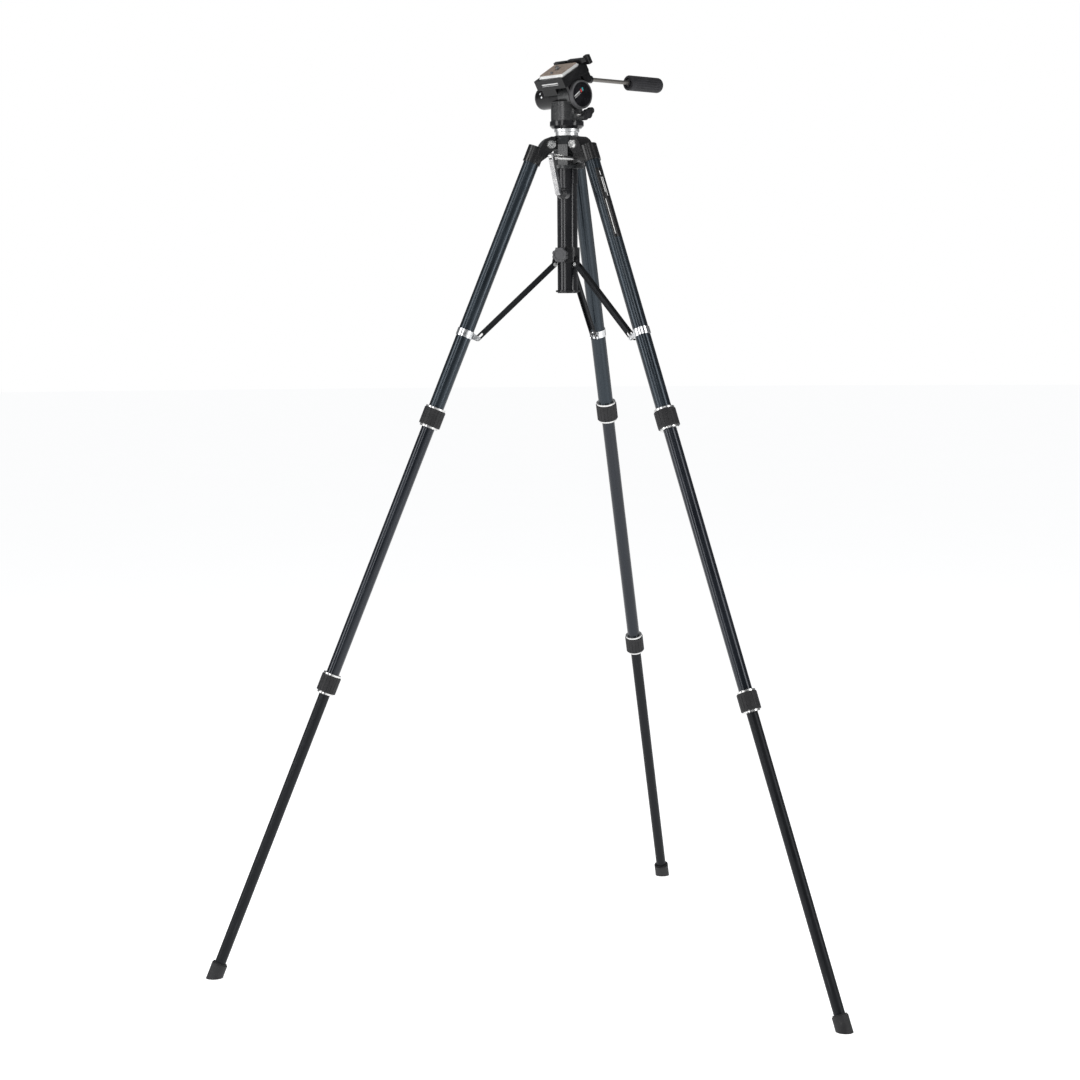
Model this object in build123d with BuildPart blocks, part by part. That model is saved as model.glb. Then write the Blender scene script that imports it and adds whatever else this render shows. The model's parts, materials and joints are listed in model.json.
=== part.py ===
from build123d import *
from math import cos, sin, tan, pi, radians
import os

# Three-section tripod with a geared centre column and a two-way fluid head.
# Millimetres, +Z up, origin on the ground under the column axis.
# The lens looks along -Y when the head is square on; leg b points along +X.

# ---- legs: layout -------------------------------------------------------
LEGS = {"a": 240.0, "b": 0.0, "c": 120.0}
LEG_TILT = 22.2
PIVOT_R = 30.0
PIVOT_Z = 1391.5
TUBE_OFFSET = 18.0

# ---- legs: tubes (distances run down the tube from beside the pivot) ----
UPPER_R = 13.0
MIDDLE_R = 11.2
LOWER_R = 9.3
TUBE_WALL = 1.1
SOCKET_TOP = 12.0
SOCKET_END = 40.5
SOCKET_R = 15.0
UPPER_TOP = 18.0
LOCK_1 = 499.0
LOCK_2 = 979.0
BOOT_TOP = 1485.0
TUBE_OVERLAP = 50.0
LOWER_END = 1498.0
BOOT_R = 13.4
GROUND_REACH = 1540.0

# ---- legs: twist locks --------------------------------------------------
GRIP_LENGTH = 30.0
GRIP_1_R = 18.4
GRIP_2_R = 16.6
GRIP_FLUTES = 24
FLUTE_R = 0.9
RING_HEIGHT = 3.0
RING_OVERHANG = 2.6
SLEEVE_WALL = 1.6
SLIDE_GAP = 0.1
TURN_GAP = 0.3

# ---- leg shoulders and hinge bolts --------------------------------------
CHEEK_IN = 11.4
CHEEK_OUT = 15.5
EYE_R = 9.5
BOLT_R = 4.0
BOLT_FIT = 0.08
BOLT_HEAD_R = 7.8
BOLT_HEAD = 3.2
LUG_HALF = 11.0
LUG_R = 8.0
LUG_CLEAR_R = 9.2

# ---- spider, guide tube and column --------------------------------------
SPIDER_TOP = 1406.8
SPIDER_BOTTOM = 1352.0
HUB_LEG_FLAT = 19.6
FACET_TOP_R = 19.0
FACET_DROP = 15.5
FACET_HALF = 10.0
HUB_SIDE_FLAT = 24.5
GUIDE_R = 17.1
GUIDE_BORE = 14.3
GUIDE_BOTTOM = 1144.0
GUIDE_SEAMS = (1240.0, 1300.0)
SEAM_DEPTH = 0.4
SEAM_WIDTH = 0.9
SLEEVE_R = 18.4
SLEEVE_BOTTOM = 1326.0
COLUMN_R = 14.0
COLUMN_BORE = 9.2
COLUMN_BOTTOM = 1155.0
COLUMN_TOP = 1407.0
RACK_TIP = 12.8
RACK_PITCH_LINE = 12.0
RACK_ROOT = 10.9
RACK_HALF = 5.0
MODULE = 1.0
PINION_TEETH = 10
PINION_HALF = 4.6
PINION_R = 5.0

# ---- crank --------------------------------------------------------------
CRANK_AZIMUTH = 290.0
CRANK_Z = 1367.5
CRANK_OFFSET = RACK_PITCH_LINE + PINION_R
CRANK_HINGE = 90.0
CRANK_ANGLE = 12.0
CRANK_ARM = 62.0
SHAFT_R = 4.0

# ---- brace --------------------------------------------------------------
COLLAR_BOTTOM = 1195.5
COLLAR_TOP = 1220.5
COLLAR_R = 20.6
BRACE_Z = 1192.0
BRACE_R = 23.0
CLIP_AT = 347.0
CLIP_OUT = 23.0
BRACE_DEPTH = 8.6
BRACE_HALF = 4.5
BRACE_SLOT = 10.5
BRACE_PIN_R = 1.5
KNOB_AZIMUTH = 300.0

# ---- head ---------------------------------------------------------------
TILT_Z = 1473.5
TILT_REST = 31.0
BASE_BOTTOM = 1419.0
BASE_TOP = 1431.0
BASE_R = 28.5
TOWER_R = 26.6
TOWER_TOP = 1463.0
KNUCKLE_R = 20.0
KNUCKLE_LEFT = -1.0
KNUCKLE_RIGHT = 26.0
BARREL_R = 19.0
BARREL_END = -57.0
CAP_R = 23.9
CAP_IN = 31.8
CAP_OUT = 38.4
AXLE_R = 6.0
DECK_HALF = 34.5
DECK_FRONT = -24.5
DECK_REAR = 38.0
DECK_BOTTOM = 25.0
DECK_TOP = 42.4
POCKET_HALF = 30.2
POCKET_FRONT = -18.0
POCKET_REAR = 29.0
POCKET_FLOOR = 36.0
PLATE_MID = 5.4
PAD_HALF = 26.8
PAD_DEPTH = 19.3
PLATE_TOP = 46.0
PAD_TOP = 47.6
SCREW_R = 3.175
SCREW_NECK_R = 2.7
SCREW_TIP = 52.4
SCREW_HEAD_R = 6.8
SCREW_HEAD_TOP = 40.1
THREAD_GAP = 0.2
PIN_AT = -10.5
PIN_R = 2.1
PIN_TIP = 50.2
PLATE_SKIRT = (59.4, 45.8)
PLATE_FACE = (55.4, 41.2)
PLATE_SKIRT_TOP = 41.5
PLATE_LIFT = 0.1
LEVER_PIVOT = (2.0, 34.5)
LEVER_THICK = 6.4
GRIP_FLUTES = 18
HANDLE_X = 26.0
HANDLE_RISE = 27.5
HANDLE_START = 17.0
HANDLE_R = 3.4
GRIP_START = 119.0
GRIP_END = 196.0
HANDLE_GRIP_R = 12.9


def save(node, builder):
    builder.part.label = node
    export_step(builder.part, f"parts/{node}.step")


def polar(radius, azimuth, height=0.0):
    angle = radians(azimuth)
    return (radius * cos(angle), radius * sin(angle), height)


def radial_plane(azimuth, radius, height, side=0.0):
    """Upright plane through the column: x outward, y up, normal clockwise."""
    out = Vector(*polar(1.0, azimuth))
    across = Vector(*polar(1.0, azimuth + 90.0))
    origin = out * radius + across * side + Vector(0, 0, height)
    return Plane(origin=origin, x_dir=out, z_dir=-across)


def facing_plane(azimuth, radius, height, side=0.0):
    """Upright plane facing outward: x clockwise, y up, normal outward."""
    out = Vector(*polar(1.0, azimuth))
    across = Vector(*polar(1.0, azimuth + 90.0))
    origin = out * radius + across * side + Vector(0, 0, height)
    return Plane(origin=origin, x_dir=across, z_dir=out)


def leg_plane(azimuth, distance=0.0):
    """Plane across a leg tube: x away from the column, normal down the tube."""
    tilt = radians(LEG_TILT)
    out = Vector(*polar(1.0, azimuth))
    up = Vector(0, 0, 1)
    down_tube = out * sin(tilt) - up * cos(tilt)
    outward = out * cos(tilt) + up * sin(tilt)
    origin = out * PIVOT_R + up * PIVOT_Z + outward * TUBE_OFFSET
    return Plane(origin=origin + down_tube * distance, x_dir=outward, z_dir=down_tube)


def on_tube(distance, outward):
    """Leg point in the radial plane, measured from the hinge bolt."""
    tilt = radians(LEG_TILT)
    out = (TUBE_OFFSET + outward) * cos(tilt) + distance * sin(tilt)
    up = (TUBE_OFFSET + outward) * sin(tilt) - distance * cos(tilt)
    return (out, up)


def ring(plane, outer, inner, length):
    """Tube section added to the open part."""
    with BuildSketch(plane) as outline:
        Circle(outer)
        if inner > 0:
            Circle(inner, mode=Mode.SUBTRACT)
    extrude(outline.sketch, amount=length)


def groove(plane, outer, inner, length):
    """Shallow turned groove cut into the open part."""
    with BuildSketch(plane) as outline:
        Circle(outer)
        Circle(inner, mode=Mode.SUBTRACT)
    extrude(outline.sketch, amount=length, mode=Mode.SUBTRACT)


def bore(plane, radius, length):
    with BuildSketch(plane) as outline:
        Circle(radius)
    extrude(outline.sketch, amount=length, mode=Mode.SUBTRACT)


# ======================= legs ============================================
def shoulder_profile():
    """Side outline of the casting that carries a leg: a dome round the hinge bolt."""
    return [
        (-8.0, -5.4),
        (6.5, -20.5),
        on_tube(SOCKET_END - 2.0, -9.0),
        on_tube(SOCKET_END - 2.0, -2.0),
        on_tube(SOCKET_TOP + 2.0, -2.0),
        (17.4, -2.0),
        (15.6, 1.4),
        (12.8, 5.2),
        (9.4, 8.6),
        (5.0, 11.6),
        (0.0, 13.4),
        (-5.6, 13.4),
        (-6.6, 8.4),
    ]


def lug_relief():
    """Space between the cheeks that the spider lug swings in."""
    return [
        (-20.0, LUG_CLEAR_R),
        (0.0, LUG_CLEAR_R),
        (0.0, 0.0),
        (LUG_CLEAR_R, 0.0),
        (14.0, -5.0),
        (40.0, -45.0),
        (-20.0, -45.0),
    ]


def build_shoulder(letter, azimuth):
    side = radial_plane(azimuth, PIVOT_R, PIVOT_Z)
    with BuildPart() as shoulder:
        with BuildSketch(side):
            Polygon(*shoulder_profile(), align=None)
            Circle(EYE_R)
        extrude(amount=CHEEK_OUT, both=True)
        with BuildSketch(side):
            Polygon(*lug_relief(), align=None)
        extrude(amount=CHEEK_IN, both=True, mode=Mode.SUBTRACT)
        ring(leg_plane(azimuth, SOCKET_TOP), SOCKET_R, 0, SOCKET_END - SOCKET_TOP)
        with BuildSketch(side):
            Circle(LUG_CLEAR_R)
        extrude(amount=CHEEK_IN, both=True, mode=Mode.SUBTRACT)
        with BuildSketch(side):
            Circle(BOLT_R + BOLT_FIT)
        extrude(amount=CHEEK_OUT + 1.0, both=True, mode=Mode.SUBTRACT)
        bore(leg_plane(azimuth, UPPER_TOP), UPPER_R, SOCKET_END - UPPER_TOP + 1.0)
    save(f"leg_{letter}_shoulder", shoulder)


def build_tubes(letter, azimuth):
    with BuildPart() as upper:
        ring(leg_plane(azimuth, UPPER_TOP), UPPER_R, UPPER_R - TUBE_WALL,
             LOCK_1 - UPPER_TOP)
    save(f"leg_{letter}_upper_tube", upper)

    middle_top = LOCK_1 - TUBE_OVERLAP
    with BuildPart() as middle:
        ring(leg_plane(azimuth, middle_top), MIDDLE_R, MIDDLE_R - TUBE_WALL,
             LOCK_2 - middle_top)
    save(f"leg_{letter}_middle_tube", middle)

    lower_top = LOCK_2 - TUBE_OVERLAP
    with BuildPart() as lower:
        ring(leg_plane(azimuth, lower_top), LOWER_R, LOWER_R - TUBE_WALL,
             LOWER_END - lower_top)
    save(f"leg_{letter}_lower_tube", lower)


def build_lock(letter, azimuth, level, centre, outer_tube, inner_tube, grip_r):
    """Silver threaded sleeve on the tube end and the ribbed rubber grip on it."""
    half = GRIP_LENGTH / 2
    top = centre - half - RING_HEIGHT
    sleeve_r = outer_tube + SLEEVE_WALL
    ring_r = sleeve_r + RING_OVERHANG
    with BuildPart() as core:
        ring(leg_plane(azimuth, top), ring_r, 0, RING_HEIGHT)
        ring(leg_plane(azimuth, top + RING_HEIGHT), sleeve_r, 0, GRIP_LENGTH)
        ring(leg_plane(azimuth, centre + half), ring_r - SLEEVE_WALL, 0, RING_HEIGHT)
        bore(leg_plane(azimuth, top - 1.0), outer_tube, centre - top + 1.0)
        bore(leg_plane(azimuth, centre), inner_tube + SLIDE_GAP,
             half + RING_HEIGHT + 1.0)
    save(f"leg_{letter}_{level}_lock_core", core)

    grip_top = centre - half + TURN_GAP
    grip_length = GRIP_LENGTH - 2 * TURN_GAP
    with BuildPart() as grip:
        ring(leg_plane(azimuth, grip_top), grip_r, sleeve_r + TURN_GAP, grip_length)
        chamfer(grip.edges().filter_by(GeomType.CIRCLE).group_by(
            lambda e: e.radius)[-1], length=0.8)
        with BuildSketch(leg_plane(azimuth, grip_top + 3.0)):
            with PolarLocations(grip_r + 0.3, GRIP_FLUTES):
                Circle(FLUTE_R)
        extrude(amount=grip_length - 6.0, mode=Mode.SUBTRACT)
    save(f"leg_{letter}_{level}_lock_grip", grip)


def build_foot(letter, azimuth):
    with BuildPart() as foot:
        ring(leg_plane(azimuth, BOOT_TOP), BOOT_R, 0, GROUND_REACH - BOOT_TOP)
        ring(leg_plane(azimuth, BOOT_TOP - 2.0), BOOT_R - 1.6, 0, 3.0)
        bore(leg_plane(azimuth, BOOT_TOP - 3.0), LOWER_R, LOWER_END - BOOT_TOP + 3.0)
        with BuildSketch(Plane.XY.offset(-60.0)):
            Circle(900.0)
        extrude(amount=60.0, mode=Mode.SUBTRACT)
    save(f"leg_{letter}_foot", foot)


def build_clip(letter, azimuth):
    """Chrome band on the upper tube with two ears and the brace pin."""
    band = 12.5
    ear_in = 5.4
    ear_out = 6.8
    side = radial_plane(azimuth, PIVOT_R, PIVOT_Z)
    pin_at = on_tube(CLIP_AT, -CLIP_OUT)
    root_top = on_tube(CLIP_AT - 5.0, -UPPER_R - 0.6)
    root_bottom = on_tube(CLIP_AT + 5.0, -UPPER_R - 0.6)
    tip_top = on_tube(CLIP_AT - 3.6, -CLIP_OUT)
    tip_bottom = on_tube(CLIP_AT + 3.6, -CLIP_OUT)
    with BuildPart() as clip:
        ring(leg_plane(azimuth, CLIP_AT - band / 2), UPPER_R + 1.3, 0, band)
        with BuildSketch(side):
            Polygon(root_top, root_bottom, tip_bottom, tip_top, align=None)
            with Locations(pin_at):
                Circle(3.6)
        extrude(amount=ear_out, both=True)
        with BuildSketch(side):
            Polygon(on_tube(CLIP_AT - 12.0, -UPPER_R - 1.3),
                    on_tube(CLIP_AT + 12.0, -UPPER_R - 1.3),
                    on_tube(CLIP_AT + 12.0, -CLIP_OUT - 8.0),
                    on_tube(CLIP_AT - 12.0, -CLIP_OUT - 8.0), align=None)
        extrude(amount=ear_in, both=True, mode=Mode.SUBTRACT)
        with BuildSketch(side):
            with Locations(pin_at):
                Circle(BRACE_PIN_R)
        extrude(amount=ear_out + 0.4, both=True)
        for plane in (side.offset(ear_out), side.offset(-ear_out - 1.2)):
            with BuildSketch(plane):
                with Locations(pin_at):
                    Circle(2.7)
            extrude(amount=1.2)
        bore(leg_plane(azimuth, CLIP_AT - band), UPPER_R, 2 * band)
    save(f"leg_{letter}_brace_clip", clip)


def build_brace(letter, azimuth):
    """Channel bar from the sliding collar to the leg clip, slotted at the clip."""
    inner = Vector(BRACE_R - PIVOT_R, BRACE_Z - PIVOT_Z)
    outer = Vector(*on_tube(CLIP_AT, -CLIP_OUT))
    length = (outer - inner).length
    along = (outer - inner).normalized()
    out = Vector(*polar(1.0, azimuth))
    up = Vector(0, 0, 1)
    origin = out * BRACE_R + up * BRACE_Z
    bar_dir = out * along.X + up * along.Y
    side = Plane(origin=origin, x_dir=bar_dir,
                 z_dir=Vector(*polar(-1.0, azimuth + 90.0)))
    wall = 1.3
    web_start = 11.0
    web_end = length - 17.0
    half = BRACE_DEPTH / 2
    flange_mid = BRACE_HALF - wall / 2
    with BuildPart() as brace:
        for offset in (-flange_mid, flange_mid):
            with BuildSketch(side.offset(offset)):
                with Locations((length / 2, 0)):
                    SlotCenterToCenter(length, BRACE_DEPTH)
            extrude(amount=wall / 2, both=True)
        with BuildSketch(side):
            with Locations(((web_start + web_end) / 2, half - wall / 2)):
                Rectangle(web_end - web_start, wall)
        extrude(amount=BRACE_HALF, both=True)
        with BuildSketch(side):
            Circle(BRACE_PIN_R + BOLT_FIT)
            with Locations((length - BRACE_SLOT / 2, 0)):
                SlotCenterToCenter(BRACE_SLOT, 2 * (BRACE_PIN_R + 0.75))
        extrude(amount=BRACE_HALF + 1.0, both=True, mode=Mode.SUBTRACT)
        for offset in (-BRACE_HALF, BRACE_HALF):
            with BuildSketch(side.offset(offset)):
                with Locations((length / 2, -0.4)):
                    SlotCenterToCenter(length - 50.0, 2.6)
            extrude(amount=0.4, both=True, mode=Mode.SUBTRACT)
    save(f"leg_{letter}_brace", brace)


def build_leg(letter, azimuth):
    build_shoulder(letter, azimuth)
    build_tubes(letter, azimuth)
    build_lock(letter, azimuth, "upper", LOCK_1, UPPER_R, MIDDLE_R, GRIP_1_R)
    build_lock(letter, azimuth, "lower", LOCK_2, MIDDLE_R, LOWER_R, GRIP_2_R)
    build_foot(letter, azimuth)
    build_clip(letter, azimuth)
    build_brace(letter, azimuth)


# ======================= spider and column ===============================
def hub_outline():
    """Six-sided hub section: flats toward the legs and between them."""
    half_angle = radians(60.0)
    across = (HUB_SIDE_FLAT - HUB_LEG_FLAT * cos(half_angle)) / sin(half_angle)
    points = []
    for azimuth in sorted(LEGS.values()):
        out = Vector(*polar(1.0, azimuth))
        side = Vector(*polar(1.0, azimuth + 90.0))
        for sign in (-1, 1):
            corner = out * HUB_LEG_FLAT + side * across * sign
            points.append((corner.X, corner.Y))
    return points


def hub_facet():
    """Wedge cut from the hub's shoulder between two legs, x outward, y from the top."""
    return [(FACET_TOP_R, 0.1), (HUB_SIDE_FLAT + 0.1, -FACET_DROP),
            (HUB_SIDE_FLAT + 6.0, -FACET_DROP), (HUB_SIDE_FLAT + 6.0, 0.1)]


def build_spider():
    shaft = facing_plane(CRANK_AZIMUTH, 0.0, CRANK_Z, CRANK_OFFSET)
    with BuildPart() as spider:
        with BuildSketch(Plane.XY.offset(SPIDER_BOTTOM)):
            Polygon(*hub_outline(), align=None)
        extrude(amount=1401.0 - SPIDER_BOTTOM)
        ring(Plane.XY.offset(1400.0), 21.4, 0, SPIDER_TOP - 1400.0)
        ring(Plane.XY.offset(SPIDER_BOTTOM), 28.0, 0, 5.0)
        for azimuth in LEGS.values():
            side = radial_plane(azimuth, PIVOT_R, PIVOT_Z)
            with BuildSketch(side):
                Circle(LUG_R)
                with Locations((-9.0, 0)):
                    Rectangle(18.0, 2 * LUG_R)
            extrude(amount=LUG_HALF, both=True)
        ring(shaft.offset(-10.0), 8.4, 0, 20.0)
        for azimuth in LEGS.values():
            with BuildSketch(radial_plane(azimuth + 60.0, 0.0, SPIDER_TOP)):
                Polygon(*hub_facet(), align=None)
            extrude(amount=FACET_HALF, both=True, mode=Mode.SUBTRACT)
        bore(Plane.XY.offset(SPIDER_BOTTOM - 1.0), GUIDE_R, 60.0)
        bore(shaft.offset(-6.4), 6.7, 12.8)
        bore(shaft.offset(-8.6), 3.0 + BOLT_FIT, 4.0)
        bore(shaft, SHAFT_R + BOLT_FIT, 32.0)
        for azimuth in LEGS.values():
            with BuildSketch(radial_plane(azimuth, PIVOT_R, PIVOT_Z)):
                Circle(BOLT_R)
            extrude(amount=LUG_HALF + 1.0, both=True, mode=Mode.SUBTRACT)
    save("spider", spider)


def build_hinge_bolts():
    with BuildPart() as bolts:
        for azimuth in LEGS.values():
            side = radial_plane(azimuth, PIVOT_R, PIVOT_Z)
            start = CHEEK_OUT + TURN_GAP
            with BuildSketch(side):
                Circle(BOLT_R)
            extrude(amount=start + 0.5, both=True)
            for plane, taper_sign in ((side.offset(start), 1), (side.offset(-start), -1)):
                with BuildSketch(plane):
                    Circle(BOLT_HEAD_R)
                extrude(amount=taper_sign * BOLT_HEAD, taper=25.0)
                with BuildSketch(plane.offset(taper_sign * BOLT_HEAD)):
                    RegularPolygon(2.6, 6)
                extrude(amount=-taper_sign * 1.8, mode=Mode.SUBTRACT)
    save("leg_hinge_bolts", bolts)


def build_guide():
    shaft = facing_plane(CRANK_AZIMUTH, 0.0, CRANK_Z, CRANK_OFFSET)
    with BuildPart() as guide:
        ring(Plane.XY.offset(GUIDE_BOTTOM + 3.0), GUIDE_R, 0, 1406.0 - GUIDE_BOTTOM - 3.0)
        ring(Plane.XY.offset(SLEEVE_BOTTOM), SLEEVE_R, 0, SPIDER_BOTTOM - SLEEVE_BOTTOM)
        for height in GUIDE_SEAMS:
            groove(Plane.XY.offset(height), GUIDE_R + 2.0, GUIDE_R - SEAM_DEPTH, SEAM_WIDTH)
        bore(Plane.XY.offset(GUIDE_BOTTOM), GUIDE_BORE, 1410.0 - GUIDE_BOTTOM)
        bore(shaft.offset(-6.4), 6.7, 12.8)
        bore(shaft.offset(-12.0), 3.4, 8.0)
        bore(shaft, SHAFT_R + 0.4, 20.0)
    save("guide_tube", guide)

    with BuildPart() as end_ring:
        ring(Plane.XY.offset(GUIDE_BOTTOM), GUIDE_R, 0, 3.0)
        ring(Plane.XY.offset(GUIDE_BOTTOM + 1.6), 20.2, 0, 3.2)
        bore(Plane.XY.offset(GUIDE_BOTTOM + 3.0), GUIDE_R, 3.0)
        bore(Plane.XY.offset(GUIDE_BOTTOM - 1.0), GUIDE_BORE, 8.0)
    save("guide_tube_ring", end_ring)


def rack_gap():
    """Outline of one tooth space, x outward from the column axis."""
    slope = tan(radians(20.0))
    at_pitch = (pi * MODULE / 2 + 0.36) / 2
    tip = at_pitch + (RACK_TIP + 0.4 - RACK_PITCH_LINE) * slope
    root = at_pitch - (RACK_PITCH_LINE - RACK_ROOT) * slope
    return [(RACK_ROOT, -root), (RACK_TIP + 0.4, -tip), (RACK_TIP + 0.4, tip),
            (RACK_ROOT, root)]


def build_column():
    rack_side = CRANK_AZIMUTH + 90.0
    across = radial_plane(rack_side, 0.0, CRANK_Z)
    spaces_down = 65
    with BuildPart() as column:
        ring(Plane.XY.offset(COLUMN_BOTTOM), COLUMN_R, 0, COLUMN_TOP - COLUMN_BOTTOM)
        with BuildSketch(across):
            with Locations((RACK_TIP + 1.0, (COLUMN_BOTTOM - CRANK_Z) / 2 + 3.0)):
                Rectangle(2.0, CRANK_Z - COLUMN_BOTTOM + 12.0)
        extrude(amount=9.0, both=True, mode=Mode.SUBTRACT)
        with BuildSketch(across):
            for index in range(-spaces_down, 3):
                height = index * pi * MODULE
                points = [(x, y + height) for x, y in rack_gap()]
                Polygon(*points, align=None)
        extrude(amount=RACK_HALF, both=True, mode=Mode.SUBTRACT)
        bore(Plane.XY.offset(COLUMN_BOTTOM - 1.0), COLUMN_BORE, 400.0)
    save("column_tube", column)

    with BuildPart() as flange:
        ring(Plane.XY.offset(COLUMN_TOP), 18.9, 0, 5.6)
        ring(Plane.XY.offset(COLUMN_TOP + 5.6), 21.0, 0, 6.4)
        ring(Plane.XY.offset(COLUMN_TOP - 14.0), COLUMN_BORE, 0, 14.0)
        ring(Plane.XY.offset(BASE_BOTTOM), 4.76, 0, 10.0)
        chamfer(flange.edges().filter_by(GeomType.CIRCLE).group_by(
            lambda e: e.radius)[-1], length=0.8)
    save("column_flange", flange)


# ======================= crank ===========================================
def pinion_tooth():
    return [(-0.62, 3.2), (0.62, 3.2), (0.62, 4.9), (0.36, 5.75), (-0.36, 5.75),
            (-0.62, 4.9)]


def build_crank():
    shaft = facing_plane(CRANK_AZIMUTH, 0.0, CRANK_Z, CRANK_OFFSET)
    tongue = 2.2
    end = CRANK_HINGE - 7.5
    hinge_side = radial_plane(CRANK_AZIMUTH, CRANK_HINGE, CRANK_Z, CRANK_OFFSET)
    lean = radians(CRANK_ANGLE)
    step = 360.0 / PINION_TEETH
    arm_across = (hinge_side.z_dir * -cos(lean)) + Vector(0, 0, 1) * sin(lean)
    out = Vector(*polar(1.0, CRANK_AZIMUTH))
    arm_side = Plane(origin=hinge_side.origin, x_dir=out, z_dir=-arm_across)
    with BuildPart() as crank:
        ring(shaft.offset(-6.0), 3.5, 0, 12.0)
        with BuildSketch(shaft.offset(-PINION_HALF)):
            for index in range(PINION_TEETH):
                angle = radians(90.0 + index * step)
                points = [(x * cos(angle) - y * sin(angle), x * sin(angle) + y * cos(angle))
                          for x, y in pinion_tooth()]
                Polygon(*points, align=None)
        extrude(amount=2 * PINION_HALF)
        ring(shaft.offset(-8.4), 3.0, 0, 3.0)
        ring(shaft.offset(5.0), SHAFT_R, 0, end - 5.0)
        ring(shaft.offset(end - 26.0), SHAFT_R + 0.9, 0, 18.0)
        with BuildSketch(arm_side):
            Circle(4.6)
            with Locations((-5.5, 0)):
                Rectangle(9.0, 7.6)
        extrude(amount=tongue, both=True)
        with BuildSketch(arm_side):
            Circle(1.6)
        extrude(amount=5.0, both=True, mode=Mode.SUBTRACT)
    save("crank_shaft", crank)

    down = (arm_across.cross(out)).normalized()
    if down.Z > 0:
        down = -down
    arm_face = Plane(origin=hinge_side.origin, x_dir=arm_across, z_dir=out)
    knob_plane = Plane(origin=hinge_side.origin + down * CRANK_ARM,
                       x_dir=arm_across, z_dir=-out)
    sign = 1.0 if arm_side.y_dir.dot(down) > 0 else -1.0
    with BuildPart() as arm:
        for offset in (tongue + 0.3, -tongue - 1.7):
            with BuildSketch(arm_side.offset(offset)):
                with Locations((0, sign * CRANK_ARM / 2)):
                    SlotCenterToCenter(CRANK_ARM, 8.4, rotation=90)
            extrude(amount=1.4)
        with BuildSketch(arm_side):
            with Locations((3.5, sign * (CRANK_ARM / 2 + 3.0))):
                Rectangle(1.4, CRANK_ARM - 6.0)
        extrude(amount=tongue + 1.7, both=True)
        with BuildSketch(arm_side):
            Circle(1.5)
        extrude(amount=tongue + 2.6, both=True)
        ring(knob_plane.offset(-4.2), 4.0, 0, 8.0)
        ring(knob_plane.offset(3.0), 1.9, 0, 19.0)
    save("crank_arm", arm)

    with BuildPart() as knob:
        with BuildSketch(knob_plane.offset(4.6)):
            Circle(5.6)
        with BuildSketch(knob_plane.offset(12.0)):
            Circle(9.4)
        loft()
        ring(knob_plane.offset(12.0), 9.4, 0, 13.0)
        chamfer(knob.faces().sort_by(lambda f: f.center().dot(-out))[-1].edges(), length=1.0)
        bore(knob_plane.offset(4.0), 2.0, 19.0)
    save("crank_knob", knob)


# ======================= brace collar ====================================
def build_collar():
    stem = facing_plane(KNOB_AZIMUTH, 0.0, 1207.0)
    with BuildPart() as collar:
        ring(Plane.XY.offset(COLLAR_BOTTOM), COLLAR_R, 0, COLLAR_TOP - COLLAR_BOTTOM)
        for azimuth in LEGS.values():
            side = radial_plane(azimuth, 0.0, BRACE_Z)
            with BuildSketch(side):
                with Locations((BRACE_R, 0)):
                    Circle(4.2)
                Polygon((18.4, -2.0), (BRACE_R, -4.2), (BRACE_R + 4.2, 0),
                        (BRACE_R + 2.0, 12.0), (18.4, 14.0), align=None)
            extrude(amount=2.9, both=True)
        ring(stem.offset(17.6), 7.5, 0, 8.4)
        bore(Plane.XY.offset(COLLAR_BOTTOM - 20.0), GUIDE_R + 0.3, 60.0)
        bore(stem.offset(17.0), 3.6, 12.0)
        for azimuth in LEGS.values():
            with BuildSketch(radial_plane(azimuth, BRACE_R, BRACE_Z)):
                Circle(BRACE_PIN_R)
            extrude(amount=4.0, both=True, mode=Mode.SUBTRACT)
    save("brace_collar", collar)

    with BuildPart() as pins:
        for azimuth in LEGS.values():
            side = radial_plane(azimuth, BRACE_R, BRACE_Z)
            head = BRACE_HALF + TURN_GAP
            with BuildSketch(side):
                Circle(BRACE_PIN_R)
            extrude(amount=head + 0.2, both=True)
            for plane in (side.offset(head), side.offset(-head - 1.3)):
                with BuildSketch(plane):
                    Circle(3.2)
                extrude(amount=1.3)
    save("brace_pins", pins)

    lobes = 8
    knob_r = 12.6
    with BuildPart() as knob:
        ring(stem.offset(18.4), 3.3, 0, 18.0)
        ring(stem.offset(26.4), 7.0, 0, 10.0)
        ring(stem.offset(36.0), knob_r, 0, 12.0)
        with BuildSketch(stem.offset(35.0)):
            with PolarLocations(knob_r + 2.6, lobes):
                Circle(4.0)
        extrude(amount=14.0, mode=Mode.SUBTRACT)
        with BuildSketch(stem.offset(47.0)):
            Circle(8.6)
        extrude(amount=1.0, mode=Mode.SUBTRACT)
    save("collar_knob", knob)


# ======================= head ============================================
tilt_angle = radians(TILT_REST)
deck_rear = Vector(0, cos(tilt_angle), sin(tilt_angle))
deck_up = Vector(0, -sin(tilt_angle), cos(tilt_angle))
axle_point = Vector(0, 0, TILT_Z)
deck = Plane(origin=axle_point, x_dir=(1, 0, 0), z_dir=deck_up)
deck_side = Plane(origin=axle_point, x_dir=deck_rear, z_dir=(1, 0, 0))
tower_side = Plane(origin=axle_point, x_dir=(0, 1, 0), z_dir=(1, 0, 0))


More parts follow.
